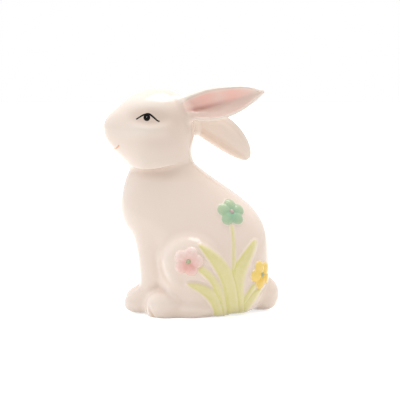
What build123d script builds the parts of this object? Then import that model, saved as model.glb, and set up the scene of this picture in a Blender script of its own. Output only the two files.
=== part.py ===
from build123d import *
import os
from math import cos, pi, sin

# Seated rabbit figurine in glazed slip-cast ceramic, in millimetres.
# The rabbit looks along -X, its left flank faces -Y, and it stands on Z = 0.
# The origin is the centre of the vent hole, in the plane of the foot.
# Every member is cast or pressed by itself and luted, face to face, to the one that carries it.

# Clay
WALL = 3.2                 # cast wall of the hollow castings
RELIEF = 1.3               # how far leaves and stems stand out of the flank
OVERRUN = 2.0              # how far a cut runs past what it cuts
OUTLINE_POINTS = 16        # points round each level outline
ROUNDNESS = 2.25           # 2 is an ellipse, more has fuller corners

# Torso: a loft of level outlines from the foot to the rim of the neck
TORSO_HEIGHT = 98.0
TORSO_FRONT = 50.0         # chest, ahead of the vent hole
TORSO_BACK = 43.0          # rump, behind the vent hole
TORSO_HALF_WIDTH = 29.5
TORSO_WIDEST_SHARE = 0.62  # place of the widest point, from front to back
VENT_DIAMETER = 10.0
# Each row: height, front, back and half width, as shares of the four sizes above.
TORSO_STATION_SHARES = (
    (0.000, 0.54, 0.66, 0.62),
    (0.036, 0.60, 0.85, 0.83),
    (0.143, 0.63, 0.97, 0.98),
    (0.306, 0.67, 1.00, 1.00),
    (0.460, 0.81, 0.973, 0.96),
    (0.580, 0.965, 0.885, 0.88),
    (0.694, 1.00, 0.672, 0.775),
    (0.796, 0.972, 0.362, 0.66),
    (0.878, 0.92, 0.094, 0.585),
    (0.939, 0.86, -0.078, 0.54),
    (1.000, 0.79, -0.186, 0.50),
)

# Head: a loft of level outlines, socketed over the rim of the neck
HEAD_HEIGHT = 51.0
HEAD_NOSE = 32.6           # nose, ahead of the head's axis
HEAD_NAPE = 24.0           # nape, behind the head's axis
HEAD_HALF_WIDTH = 22.0
NECK_ENGAGEMENT = 9.5      # how far the neck reaches up inside the head
HEAD_FORWARD = 4.25        # head's axis, ahead of the middle of the neck's rim
JAW_LIFT = 5.0             # edge of the jaw above the lowest outline, at the head's axis
JAW_TILT = 8.0             # degrees that the edge of the jaw rises towards the nape
# Each row: height, nose, nape and half width, as shares of the four sizes above.
HEAD_STATION_SHARES = (
    (0.000, 0.40, 0.75, 0.70),
    (0.050, 0.49, 0.896, 0.85),
    (0.127, 0.60, 0.933, 0.935),
    (0.245, 0.776, 0.938, 0.985),
    (0.363, 0.926, 0.979, 1.00),
    (0.500, 1.00, 1.00, 1.00),
    (0.637, 0.960, 0.979, 0.955),
    (0.755, 0.785, 0.917, 0.873),
    (0.853, 0.605, 0.80, 0.727),
    (0.930, 0.425, 0.608, 0.536),
    (0.978, 0.262, 0.396, 0.336),
    (1.000, 0.140, 0.229, 0.182),
)

# Ears: hollow boats, one laid back and one drooping
EAR_LENGTH = 55.5
EAR_HALF_WIDTH = 10.5
EAR_DEPTH = 7.6
EAR_LIP = 1.5              # thickness of the lip round the hollow
EAR_SPLAY = 11.0           # degrees outwards
EAR_OPENING = 12.0         # degrees that the hollow looks above the horizon
LEFT_EAR_PITCHES = (14.5, 14.5)    # degrees above the horizon, at the root and at the tip
RIGHT_EAR_PITCHES = (-13.0, -56.0)
EAR_ROOT_BACK_SHARE = 0.58     # of the nape
EAR_ROOT_SIDE_SHARE = 0.46     # of the head's half width
EAR_ROOT_HEIGHT_SHARE = 0.715  # of the head's height
# Each row: place along the ear, upper and lower half widths, depth of the back and of the hollow.
LEFT_EAR_STATION_SHARES = (
    (0.00, 0.78, 0.25, 0.56, -0.30),
    (0.12, 0.94, 0.55, 0.74, 0.02),
    (0.26, 1.00, 0.84, 0.95, 0.50),
    (0.45, 1.00, 1.00, 1.00, 0.60),
    (0.64, 0.84, 0.90, 0.85, 0.48),
    (0.83, 0.56, 0.57, 0.55, 0.24),
    (0.94, 0.22, 0.26, 0.30, 0.08),
    (1.00, 0.06, 0.08, 0.12, 0.00),
)
RIGHT_EAR_STATION_SHARES = (
    (0.00, 0.60, 0.62, 0.56, -0.30),
    (0.12, 0.72, 0.80, 0.74, 0.02),
    (0.26, 0.84, 0.97, 0.95, 0.50),
    (0.45, 0.94, 1.05, 1.00, 0.60),
    (0.64, 0.92, 1.00, 0.90, 0.50),
    (0.83, 0.72, 0.76, 0.65, 0.30),
    (0.94, 0.47, 0.47, 0.42, 0.14),
    (1.00, 0.18, 0.18, 0.20, 0.02),
)

# Forelegs: a column with a rounded paw
FORELEG_HEIGHT = 58.0
FORELEG_HALF_WIDTH = 9.5
FORELEG_HALF_DEPTH = 9.5
FORELEG_GAP = 0.6          # between the two forelegs, at their thickest
FORELEG_FORWARD = 29.5     # leg's axis at the paw, ahead of the vent hole
FORELEG_LEAN = 3.5         # how far the shoulder leans ahead of the paw
# Each row: height, lean and girth, as shares of the leg's height, lean and half sizes.
FORELEG_STATION_SHARES = (
    (0.00, 0.05, 1.00),
    (0.25, -0.15, 0.98),
    (0.55, 0.00, 1.00),
    (0.79, 0.75, 0.96),
    (1.00, 1.00, 0.70),
)
PAW_LENGTH = 23.6
PAW_WIDTH = 18.0
PAW_HEIGHT = 16.2
PAW_FORWARD = 7.5          # middle of the paw, ahead of the leg's axis

# Hind legs: a domed haunch, and a foot with a toe end and a sole
HAUNCH_LENGTH = 38.0
HAUNCH_WIDTH = 25.0
HAUNCH_HEIGHT = 35.0
HAUNCH_FORWARD = 5.6       # middle of the haunch, ahead of the vent hole
HAUNCH_SIDE_SHARE = 0.75   # of the torso's half width
HAUNCH_LIFT = 34.2
TOE_LENGTH = 24.6
TOE_WIDTH = 20.0
TOE_HEIGHT = 20.5
TOE_FORWARD = 21.5
SOLE_LENGTH = 40.0
SOLE_WIDTH = 19.0
SOLE_HEIGHT = 14.6
SOLE_FORWARD = 4.0
FOOT_SIDE_SHARE = 0.76     # of the torso's half width
FOOT_LEVELLED_SHARE = 0.20 # share of a hind foot's height that its flat sole takes off
PAW_LEVELLED_SHARE = 0.10

# Tail
TAIL_LENGTH = 21.2
TAIL_WIDTH = 23.0
TAIL_HEIGHT = 23.0
TAIL_BACK_SHARE = 0.90     # of the rump's reach
TAIL_LEVELLED_SHARE = 0.04

# Flower sprigs on the left flank
PETAL_COUNT = 5
PETAL_REACH = 5.0          # middle of a petal, from the middle of the flower
PETAL_LENGTH = 8.5
PETAL_WIDTH = 8.0
PETAL_RISE = 1.9
BEAD_DIAMETER = 3.0
BEAD_RISE = 2.4
# Each flower: place as shares of the rump's reach and of the torso's height,
# and degrees that its petals are turned.
FLOWER_PLACE_SHARES = {
    "teal": (0.434, 0.660),
    "pink": (-0.174, 0.367),
    "yellow": (0.865, 0.264),
}
FLOWER_TURNS = {"teal": 16.0, "pink": 2.0, "yellow": 40.0}

# Leaves and stems: a middle line from tip to root, and a half width
# Each point: shares of the rump's reach and of the torso's height.
BLADE_LINE_SHARES = {
    "tall_leaf": (
        (-0.072, 0.484), (0.072, 0.436), (0.219, 0.368),
        (0.386, 0.243), (0.448, 0.100), (0.462, 0.0),
    ),
    "right_leaf": (
        (0.790, 0.490), (0.698, 0.415), (0.590, 0.335),
        (0.512, 0.220), (0.530, 0.100), (0.560, 0.0),
    ),
    "low_leaf": ((-0.230, 0.226), (-0.107, 0.214), (0.049, 0.184), (0.170, 0.130), (0.254, 0.0)),
    "small_leaf": ((0.880, 0.176), (0.785, 0.141), (0.690, 0.090), (0.600, 0.0)),
    "teal_stem": ((0.437, 0.588), (0.463, 0.500), (0.470, 0.396), (0.463, 0.200)),
    "pink_stem": ((-0.007, 0.322), (0.096, 0.280), (0.212, 0.218), (0.290, 0.109), (0.318, 0.0)),
    "yellow_stem": ((0.775, 0.205), (0.698, 0.155), (0.622, 0.080)),
}
LEAF_HALF_WIDTHS = {"tall_leaf": 4.2, "right_leaf": 3.3, "low_leaf": 3.1, "small_leaf": 1.9}
STEM_HALF_WIDTHS = {"teal_stem": 1.0, "pink_stem": 1.5, "yellow_stem": 1.0}
# Half width of a leaf along its line, from its pointed tip to its root.
LEAF_SWELL_SHARES = ((0.03, 0.12), (0.22, 0.70), (0.48, 1.00), (0.75, 0.92), (1.00, 0.98))
STEM_SWELL_SHARES = ((0.00, 0.90), (0.33, 1.00), (0.66, 1.00), (1.00, 1.00))

LEFT = -1
RIGHT = 1
HALF = 0.5


def power(value):
    """A sine or cosine pushed out to the fuller corners of the outlines."""
    return abs(value) ** (2 / ROUNDNESS) * (1 if value >= 0 else -1)


def level_outline(height, front, back, half_width, widest):
    """A closed egg-shaped face, level at a height, from front to back along X."""
    points = []
    for index in range(OUTLINE_POINTS):
        turn = 2 * pi * index / OUTLINE_POINTS
        reach = (back - widest) if cos(turn) >= 0 else (widest - front)
        points.append((widest + reach * power(cos(turn)), half_width * power(sin(turn)), height))
    return make_face(Spline(points, periodic=True))


def ellipsoid(centre, length, width, height):
    """A solid ellipsoid of full sizes along X, Y and Z."""
    return Pos(*centre) * scale(Sphere(1), by=(length * HALF, width * HALF, height * HALF))


def above_table(solid):
    """The part of a solid that stands above the table."""
    return split(solid, bisect_by=Plane.XY, keep=Keep.TOP)


# Torso

def torso_form(grow=0.0, top=0.0):
    """The filled torso, grown all round, with its last outline raised by top."""
    outlines = []
    for height, front, back, width in TORSO_STATION_SHARES:
        start = -TORSO_FRONT * front - grow
        end = TORSO_BACK * back + grow
        widest = start + (end - start) * TORSO_WIDEST_SHARE
        lift = TORSO_HEIGHT * height + (top if height == 1.0 else 0.0)
        outlines.append(level_outline(lift, start, end, TORSO_HALF_WIDTH * width + grow, widest))
    return loft(outlines)


def neck_middle():
    """X of the middle of the neck's rim."""
    height, front, back, width = TORSO_STATION_SHARES[-1]
    return (TORSO_BACK * back - TORSO_FRONT * front) * HALF


def torso_casting(filled):
    """The hollow torso: open at the neck, with a floor and a vent hole."""
    cavity = split(torso_form(-WALL, OVERRUN), bisect_by=Plane.XY.offset(WALL), keep=Keep.TOP)
    vent = Cylinder(VENT_DIAMETER * HALF, WALL + 2 * OVERRUN)
    return filled - cavity - vent


# Head

def head_form(shrink=0.0):
    """The filled head, or its hollow when shrunk by the wall."""
    base = TORSO_HEIGHT - NECK_ENGAGEMENT
    axis = neck_middle() - HEAD_FORWARD
    tall = HEAD_HEIGHT - 2 * shrink
    outlines = []
    for height, nose, nape, width in HEAD_STATION_SHARES:
        front = axis - HEAD_NOSE * nose + shrink
        back = axis + HEAD_NAPE * nape - shrink
        half_width = HEAD_HALF_WIDTH * width - shrink
        outlines.append(level_outline(base + shrink + tall * height, front, back, half_width, axis))
    return loft(outlines)


def jawed(head):
    """A head cut off along the tilted edge of its jaw."""
    base = TORSO_HEIGHT - NECK_ENGAGEMENT
    upright = Vector(0, 0, 1).rotate(Axis.Y, -JAW_TILT)
    jaw = Plane((neck_middle() - HEAD_FORWARD, 0, base + JAW_LIFT), z_dir=upright)
    return split(head, bisect_by=jaw, keep=Keep.TOP)


def head_casting(head, torso):
    """The hollow head, open below where the neck enters it."""
    return head - head_form(WALL) - torso


# Ears

def ear_line(side, pitch):
    """The direction that an ear takes at a pitch above the horizon."""
    return Vector(1, 0, 0).rotate(Axis.Y, -pitch).rotate(Axis.Z, side * EAR_SPLAY)


def ear_form(side, pitches, station_shares):
    """A boat-shaped ear: a loft of hollowed sections square to its line, which may droop."""
    root_pitch, tip_pitch = pitches
    middle = Vector(
        neck_middle() - HEAD_FORWARD + HEAD_NAPE * EAR_ROOT_BACK_SHARE,
        side * HEAD_HALF_WIDTH * EAR_ROOT_SIDE_SHARE,
        TORSO_HEIGHT - NECK_ENGAGEMENT + HEAD_HEIGHT * EAR_ROOT_HEIGHT_SHARE,
    )
    reached = 0.0
    sections = []
    for place, upper, lower, back, hollow in station_shares:
        halfway = (place + reached) * HALF
        middle = middle + ear_line(side, root_pitch + (tip_pitch - root_pitch) * halfway) * (
            EAR_LENGTH * (place - reached))
        reached = place
        line = ear_line(side, root_pitch + (tip_pitch - root_pitch) * place)
        outwards = Vector(0, side, 0)
        outwards = (outwards - line * outwards.dot(line)).normalized()
        opening = outwards.rotate(Axis((0, 0, 0), line), side * EAR_OPENING)
        plane = Plane(middle, x_dir=line.cross(opening), z_dir=line)
        sections.append(plane * ear_section(side, upper, lower, back, hollow))
    return loft(sections)


def ear_section(side, upper, lower, back, hollow):
    """A crescent with flat lips; its open side looks along local -Y, its upper edge along side * X."""
    low, high = sorted((EAR_HALF_WIDTH * upper * side, -EAR_HALF_WIDTH * lower * side))
    middle = (low + high) * HALF
    lip = min(EAR_LIP, (high - low) * HALF * HALF)
    outside = ThreePointArc((low, 0), (middle, EAR_DEPTH * back), (high, 0))
    inside = ThreePointArc((high - lip, -lip * HALF), (middle, EAR_DEPTH * hollow), (low + lip, -lip * HALF))
    right = Line(outside @ 1, inside @ 0)
    left = Line(inside @ 1, outside @ 0)
    return make_face([outside, right, inside, left])


# Legs and tail

def foreleg_form(side):
    """A leg that leans up into the chest, with its paw."""
    outwards = side * (max(FORELEG_HALF_WIDTH, PAW_WIDTH * HALF) + FORELEG_GAP * HALF)
    sections = []
    for height, lean, girth in FORELEG_STATION_SHARES:
        place = (-FORELEG_FORWARD - FORELEG_LEAN * lean, outwards, FORELEG_HEIGHT * height)
        sections.append(Pos(*place) * Ellipse(FORELEG_HALF_DEPTH * girth, FORELEG_HALF_WIDTH * girth))
    middle = (-FORELEG_FORWARD - PAW_FORWARD, outwards, PAW_HEIGHT * (HALF - PAW_LEVELLED_SHARE))
    paw = ellipsoid(middle, PAW_LENGTH, PAW_WIDTH, PAW_HEIGHT)
    return above_table(loft(sections) + paw)


def haunch_form(side, grow=0.0):
    """The dome of the thigh."""
    middle = (-HAUNCH_FORWARD, side * TORSO_HALF_WIDTH * HAUNCH_SIDE_SHARE, HAUNCH_LIFT)
    return ellipsoid(middle, HAUNCH_LENGTH + 2 * grow, HAUNCH_WIDTH + 2 * grow, HAUNCH_HEIGHT + 2 * grow)


def hind_foot_form(side, grow=0.0):
    """A long foot: a rounded toe end and a lower sole behind it."""
    outwards = side * TORSO_HALF_WIDTH * FOOT_SIDE_SHARE
    toe_middle = (-TOE_FORWARD, outwards, TOE_HEIGHT * (HALF - FOOT_LEVELLED_SHARE))
    sole_middle = (-SOLE_FORWARD, outwards, SOLE_HEIGHT * (HALF - FOOT_LEVELLED_SHARE))
    toe = ellipsoid(toe_middle, TOE_LENGTH + 2 * grow, TOE_WIDTH + 2 * grow, TOE_HEIGHT + 2 * grow)
    sole = ellipsoid(sole_middle, SOLE_LENGTH + 2 * grow, SOLE_WIDTH + 2 * grow, SOLE_HEIGHT + 2 * grow)
    return above_table(toe + sole)


def tail_form():
    """A round scut that sits on the table behind the rump."""
    middle = (TORSO_BACK * TAIL_BACK_SHARE, 0, TAIL_HEIGHT * (HALF - TAIL_LEVELLED_SHARE))
    return above_table(ellipsoid(middle, TAIL_LENGTH, TAIL_WIDTH, TAIL_HEIGHT))


# Sprigs

def seat(surface, place, facing):
    """The plane on a surface that a ray reaches first, with its normal outwards."""
    hits = surface.find_intersection_points(Axis(place + facing * TORSO_FRONT * 2, facing * -1))
    point, normal = max(hits, key=lambda hit: (hit[0] - place).dot(facing))
    return Plane(point, z_dir=normal if normal.dot(facing) > 0 else normal * -1)


def flower(name, flank, surface):
    """The petals of one flower as a rosette, and the bead in its middle."""
    along, up = FLOWER_PLACE_SHARES[name]
    middle = seat(surface, Vector(TORSO_BACK * along, 0, TORSO_HEIGHT * up), Vector(0, LEFT, 0))
    facing = middle.z_dir
    level = Vector(0, 0, 1).cross(facing).normalized()
    bead = middle * ellipsoid((0, 0, 0), BEAD_DIAMETER, BEAD_DIAMETER, 2 * BEAD_RISE) - flank
    petals = []
    for index in range(PETAL_COUNT):
        spoke = level.rotate(Axis((0, 0, 0), facing), FLOWER_TURNS[name] + 360 * index / PETAL_COUNT)
        plane = seat(surface, middle.origin + spoke * PETAL_REACH, facing)
        outwards = spoke - plane.z_dir * spoke.dot(plane.z_dir)
        plane = Plane(plane.origin, x_dir=outwards, z_dir=plane.z_dir)
        petals.append(plane * ellipsoid((0, 0, 0), PETAL_LENGTH, PETAL_WIDTH, 2 * PETAL_RISE))
    rosette = petals[0].fuse(*petals[1:]) - flank - bead
    return rosette, bead


def blade(name, half_width, swell_shares, skin, flank):
    """A leaf or stem: its outline pressed into a skin of even relief over the flank."""
    line = Spline([(TORSO_BACK * along, TORSO_HEIGHT * up) for along, up in BLADE_LINE_SHARES[name]])
    one_side = []
    other_side = []
    for place, swell in swell_shares:
        square = Vector(line % place).rotate(Axis.Z, 90) * half_width * swell
        one_side.append(line @ place + square)
        other_side.insert(0, line @ place - square)
    edges = [Spline(one_side), Line(one_side[-1], other_side[0]), Spline(other_side)]
    outline = make_face(edges + [Line(other_side[-1], one_side[0])])
    prism = extrude(Plane.XZ * outline, TORSO_HALF_WIDTH * 2)
    return above_table(prism & skin) - flank


def main():
    torso = torso_form()
    head = jawed(head_form())
    nodes = {"torso_casting": torso_casting(torso), "head_casting": head_casting(head, torso)}
    ears = {
        "left": (LEFT, LEFT_EAR_PITCHES, LEFT_EAR_STATION_SHARES),
        "right": (RIGHT, RIGHT_EAR_PITCHES, RIGHT_EAR_STATION_SHARES),
    }
    for word, (side, pitches, station_shares) in ears.items():
        foreleg = foreleg_form(side) - torso
        haunch = haunch_form(side) - torso - foreleg
        nodes[word + "_ear"] = ear_form(side, pitches, station_shares) - head
        nodes[word + "_foreleg"] = foreleg
        nodes[word + "_haunch"] = haunch
        nodes[word + "_hind_foot"] = hind_foot_form(side) - torso - foreleg - haunch
    nodes["tail"] = tail_form() - torso

    flank = torso + haunch_form(LEFT) + hind_foot_form(LEFT)
    skin = torso_form(RELIEF) + haunch_form(LEFT, RELIEF) + hind_foot_form(LEFT, RELIEF)
    surface = flank.shell()
    sprigs = {}
    for name in FLOWER_PLACE_SHARES:
        sprigs[name + "_flower_petals"], sprigs[name + "_flower_centre"] = flower(name, flank, surface)
    for name, half_width in LEAF_HALF_WIDTHS.items():
        sprigs[name] = blade(name, half_width, LEAF_SWELL_SHARES, skin, flank)
    for name, half_width in STEM_HALF_WIDTHS.items():
        sprigs[name] = blade(name, half_width, STEM_SWELL_SHARES, skin, flank)
    laid = [nodes["tail"]]
    for name, sprig in sprigs.items():
        for earlier in laid:
            sprig = sprig - earlier
        laid.append(sprig)
        nodes[name] = sprig

    os.makedirs("parts", exist_ok=True)
    for name, node in nodes.items():
        export_step(node, os.path.join("parts", name + ".step"))
        print(name, len(node.solids()), round(node.volume), node.bounding_box().size)


main()
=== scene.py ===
# %% [markdown]
# # A glazed ceramic rabbit
# The object is a seated rabbit in white earthenware under a glossy cream glaze. Its members were cast or
# pressed one by one, luted together with slip and fired as one body, so no joint shows: each member flows
# into the next. The frame holds every member as a plain solid at its real size. This lesson grows one soft
# skin over those solids, lays the flower sprigs on it, paints the face and lights it as a shop would.
# All lengths below are millimetres, because that is how the piece would be measured on a bench.

import bpy
import numpy as np
import openvdb
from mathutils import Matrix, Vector
from mathutils.bvhtree import BVHTree


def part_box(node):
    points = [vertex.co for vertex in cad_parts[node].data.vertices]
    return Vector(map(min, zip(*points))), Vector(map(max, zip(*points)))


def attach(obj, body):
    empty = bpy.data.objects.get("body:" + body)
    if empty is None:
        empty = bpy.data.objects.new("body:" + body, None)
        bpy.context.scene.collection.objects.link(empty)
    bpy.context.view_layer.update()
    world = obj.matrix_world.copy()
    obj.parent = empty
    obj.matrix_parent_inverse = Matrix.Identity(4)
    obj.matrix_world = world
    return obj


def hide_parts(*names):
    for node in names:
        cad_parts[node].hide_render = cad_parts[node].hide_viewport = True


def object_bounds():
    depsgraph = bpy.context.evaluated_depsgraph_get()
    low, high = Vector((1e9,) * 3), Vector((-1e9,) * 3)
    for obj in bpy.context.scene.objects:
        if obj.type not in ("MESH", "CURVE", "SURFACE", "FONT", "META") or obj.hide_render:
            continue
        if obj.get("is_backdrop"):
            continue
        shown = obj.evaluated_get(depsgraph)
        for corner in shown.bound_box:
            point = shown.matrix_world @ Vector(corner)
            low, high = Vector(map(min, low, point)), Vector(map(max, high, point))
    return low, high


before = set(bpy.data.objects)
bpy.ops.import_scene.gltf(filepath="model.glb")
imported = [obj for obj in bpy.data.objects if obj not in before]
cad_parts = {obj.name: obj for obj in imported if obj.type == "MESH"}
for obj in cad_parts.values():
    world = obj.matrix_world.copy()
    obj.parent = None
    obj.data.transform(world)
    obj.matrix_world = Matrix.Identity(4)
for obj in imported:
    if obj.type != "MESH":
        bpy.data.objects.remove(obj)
cad_low, cad_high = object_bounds()
MM = 0.001
print("frame:", len(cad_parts), "members,", [round(side / MM, 1) for side in cad_high - cad_low], "mm")

# %% [markdown]
# ## The camera
# The picture was taken square to the left flank, a little above the table, from about a metre away.
# A camera can be dragged into place by eye, but a lens worked out from the width of the view keeps the
# scale honest: the field of view then follows from two lengths that can be measured.

# %% Camera
SENSOR_WIDTH = 36.0
CAMERA_PLACE = Vector((0.0, -985.0, 173.6))
CAMERA_TARGET = Vector((-0.6, 0.0, 70.0))
VIEW_WIDTH = 250.9

sight = CAMERA_TARGET - CAMERA_PLACE
lens = bpy.data.cameras.new("camera")
lens.sensor_width = SENSOR_WIDTH
lens.lens = SENSOR_WIDTH * sight.length / VIEW_WIDTH
camera = bpy.data.objects.new("camera", lens)
camera.location = CAMERA_PLACE * MM
camera.rotation_euler = sight.to_track_quat("-Z", "Y").to_euler()
bpy.context.scene.collection.objects.link(camera)
bpy.context.scene.camera = camera
bpy.context.scene.view_settings.view_transform = "Standard"
print("camera:", round(lens.lens, 1), "mm lens at", round(sight.length), "mm")

# %% [markdown]
# ## Colours and shader nodes
# Colours are easiest to read as the hex values of a paint card, but a shader works in linear light, so one
# function turns one into the other. A second small function adds any shader node, with its settings and
# links, so that each finish below reads from top to bottom like a recipe.

# %% Shader helpers
def linear(paint):
    """A hex colour as the linear red, green, blue and alpha that a shader takes."""
    shares = [int(paint[place:place + 2], 16) / 255 for place in (1, 3, 5)]
    return tuple(s / 12.92 if s <= 0.04045 else ((s + 0.055) / 1.055) ** 2.4 for s in shares) + (1.0,)


def add_node(tree, kind, inputs, **settings):
    """Adds one shader node: sets its settings, then fills or links its inputs."""
    node = tree.nodes.new("ShaderNode" + kind)
    for name, value in settings.items():
        setattr(node, name, value)
    for socket, value in inputs.items():
        if isinstance(value, bpy.types.NodeSocket):
            tree.links.new(value, node.inputs[socket])
        else:
            node.inputs[socket].default_value = value
    return node


def new_material(name):
    """A material, and its shader tree with nothing in it yet."""
    material = bpy.data.materials.new(name)
    material.use_nodes = True
    material.node_tree.nodes.clear()
    return material, material.node_tree


print("white is", [round(value, 2) for value in linear("#ffffff")])

# %% [markdown]
# ## Studio light
# Shop pictures of glossy china are taken under one wide softbox, which gives each rounded top a clean
# pale highlight. An area lamp is that softbox, and it stays the only lamp, because each further one would
# leave its own spot in the glaze.

# %% Softbox
SOFTBOX_SIZE = (460.0, 390.0)
SOFTBOX_PLACE = Vector((80.0, 95.0, 720.0))
SOFTBOX_WATTS = 2.2
SOFTBOX_TINT = "#f8fbff"

softbox_lamp = bpy.data.lights.new("softbox", "AREA")
softbox_lamp.shape = "RECTANGLE"
softbox_lamp.size = SOFTBOX_SIZE[0] * MM
softbox_lamp.size_y = SOFTBOX_SIZE[1] * MM
softbox_lamp.energy = SOFTBOX_WATTS
softbox_lamp.color = linear(SOFTBOX_TINT)[:3]
softbox = bpy.data.objects.new("softbox", softbox_lamp)
softbox.location = SOFTBOX_PLACE * MM
softbox.rotation_euler = (CAMERA_TARGET - SOFTBOX_PLACE).to_track_quat("-Z", "Y").to_euler()
bpy.context.scene.collection.objects.link(softbox)
print("softbox:", SOFTBOX_SIZE, "mm,", SOFTBOX_WATTS, "W")

# %% [markdown]
# ## The room
# The softbox alone would leave black shadows, so a white world stands for the rest of the room: bright to the
# left, where a window is, and darker across the table, towards the photographer and the far wall. Daylight
# is a little cooler than the walls. The camera, and reflections, see the room as plain white.

# %% Room
ROOM_LEVEL = 1.02
# how the level changes with the direction, and with its square, along x, y and z
ROOM_SLOPE = (-0.38, 0.0, 0.18)
ROOM_SHADE = (0.0, -0.84, 0.0)
WINDOW_SIDE = (-1.0, 0.0, 0.0)
WALL_TINT = "#fffcf9"
DAYLIGHT_TINT = "#eef5ff"


def seen_ray(tree):
    """1 on the rays that show a background: straight to the camera, mirrored or refracted."""
    path = add_node(tree, "LightPath", {})
    either = add_node(tree, "Math", {0: path.outputs["Is Camera Ray"], 1: path.outputs["Is Glossy Ray"]},
                      operation="MAXIMUM")
    return add_node(tree, "Math", {0: either.outputs[0], 1: path.outputs["Is Transmission Ray"]},
                    operation="MAXIMUM").outputs[0]


room = bpy.data.worlds.new("white_room")
room.use_nodes = True
bpy.context.scene.world = room
tree = room.node_tree
tree.nodes.clear()
towards = add_node(tree, "TexCoord", {}).outputs["Generated"]
squared = add_node(tree, "VectorMath", {0: towards, 1: towards}, operation="MULTIPLY").outputs[0]
slope = add_node(tree, "VectorMath", {0: towards, 1: ROOM_SLOPE}, operation="DOT_PRODUCT")
shade = add_node(tree, "VectorMath", {0: squared, 1: ROOM_SHADE}, operation="DOT_PRODUCT")
sloped = add_node(tree, "Math", {0: slope.outputs["Value"], 1: ROOM_LEVEL}, operation="ADD")
shine = add_node(tree, "Math", {0: sloped.outputs[0], 1: shade.outputs["Value"]}, operation="ADD")
seen = seen_ray(tree)
level = add_node(tree, "MapRange", {"Value": seen, "To Min": shine.outputs[0], "To Max": 1.0})
window = add_node(tree, "VectorMath", {0: towards, 1: WINDOW_SIDE}, operation="DOT_PRODUCT")
daylight = add_node(tree, "Mix", {0: window.outputs["Value"], 6: linear(WALL_TINT), 7: linear(DAYLIGHT_TINT)},
                    data_type="RGBA")
tint = add_node(tree, "Mix", {0: seen, 6: daylight.outputs[2], 7: linear("#ffffff")}, data_type="RGBA")
walls = add_node(tree, "Background", {"Color": tint.outputs[2], "Strength": level.outputs[0]})
add_node(tree, "OutputWorld", {"Surface": walls.outputs[0]})
print("room: level", ROOM_LEVEL, "with slopes", ROOM_SLOPE)

# %% [markdown]
# ## The white sheet
# The rabbit stands on a sheet that reads as pure white, yet a soft shadow has to stay under the feet or
# the rabbit would float. The sheet is a matt white that takes the shadow, with a little glow added
# for the rays that show it, so that only the shadow falls below white.

# %% White sheet
SHEET_SIZE = 6000.0
SHEET_GLOW = 0.72
SHEET_WHITE = "#f2f1ef"

half_sheet = SHEET_SIZE / 2 * MM
sheet_mesh = bpy.data.meshes.new("white_sheet")
sheet_mesh.from_pydata([(x, y, 0) for x, y in ((-half_sheet, -half_sheet), (half_sheet, -half_sheet),
                                               (half_sheet, half_sheet), (-half_sheet, half_sheet))],
                       [], [(0, 1, 2, 3)])
sheet = bpy.data.objects.new("white_sheet", sheet_mesh)
bpy.context.scene.collection.objects.link(sheet)
# matt paper has no highlight of its own, so only the shadow shows on it
paper, tree = new_material("white_paper")
matt = add_node(tree, "BsdfDiffuse", {"Color": linear(SHEET_WHITE)})
glow_level = add_node(tree, "Math", {0: seen_ray(tree), 1: SHEET_GLOW}, operation="MULTIPLY")
glow = add_node(tree, "Emission", {"Color": linear("#ffffff"), "Strength": glow_level.outputs[0]})
both = add_node(tree, "AddShader", {0: matt.outputs[0], 1: glow.outputs[0]})
add_node(tree, "OutputMaterial", {"Surface": both.outputs[0]})
sheet_mesh.materials.append(paper)
sheet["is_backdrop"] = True
print("sheet:", SHEET_SIZE, "mm wide")

# %% [markdown]
# ## Distance fields
# Joining the members with booleans would leave hard creases, and sculpting by hand can't be repeated. A
# distance field can do both jobs: each point of a fine grid holds how far it is from the clay, negative
# inside. Two such fields blend with a short formula, and the blend is a fillet, as a wet sponge leaves one.

# %% Distance field of one member
VOXEL = 0.5
REACH = 7.5


def node_mesh(name):
    """A member's corner points in millimetres, and its triangles."""
    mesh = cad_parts[name].data
    mesh.calc_loop_triangles()
    points = np.empty(len(mesh.vertices) * 3, np.float32)
    mesh.vertices.foreach_get("co", points)
    triangles = np.empty(len(mesh.loop_triangles) * 3, np.int32)
    mesh.loop_triangles.foreach_get("vertices", triangles)
    return points.reshape(-1, 3) / np.float32(MM), triangles.reshape(-1, 3).astype(np.uint32)


def distance_field(name, voxel, reach):
    """The signed distance to a member on a grid round it, and the grid's lowest index."""
    points, triangles = node_mesh(name)
    grid = openvdb.FloatGrid.createLevelSetFromPolygons(
        points, triangles=triangles, transform=openvdb.createLinearTransform(voxelSize=voxel),
        halfWidth=reach / voxel)
    corner = np.floor((points.min(0) - reach) / voxel).astype(int)
    beyond = np.ceil((points.max(0) + reach) / voxel).astype(int) + 1
    field = np.empty(beyond - corner, np.float32)
    grid.copyToArray(field, ijk=tuple(int(index) for index in corner))
    return field, corner


print("grid:", VOXEL, "mm voxels, reaching", REACH, "mm from the clay")

# %% [markdown]
# ## Working on a field
# A field can be worked like clay. A hollow is closed by counting all that lies between two walls as clay, an
# edge is softened by mixing each value with its neighbours, and a value between the voxels is read by mixing
# the eight round it. Modifiers could soften a mesh, but not close a hollow or tell how far the clay is.

# %% Close, soften and read a field
def filled(field):
    """A casting with its hollow closed: what lies between two walls counts as clay."""
    clay = field < 0
    entered = np.maximum.accumulate(clay, axis=1)
    leaving = np.maximum.accumulate(clay[:, ::-1], axis=1)[:, ::-1]
    return np.where(entered & leaving & ~clay, -REACH, field).astype(np.float32)


def softened(values, rounds):
    """Values on a grid, each mixed with its neighbours along every axis."""
    soft = values.copy()
    for _ in range(rounds):
        for axis in range(soft.ndim):
            line = np.moveaxis(soft, axis, 0)
            line[1:-1] = (line[:-2] + 2 * line[1:-1] + line[2:]) / 4
    return soft


def sponged(field, corner, voxel, softness):
    """A field with its edges softened, as by a damp sponge, and mirrored under the table meanwhile."""
    table = -int(corner[2])
    if table > 0:
        field = np.concatenate([field[:, :, 2 * table:table:-1], field[:, :, table:]], axis=2)
    return softened(field, round(2 * (softness / voxel) ** 2))


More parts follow.
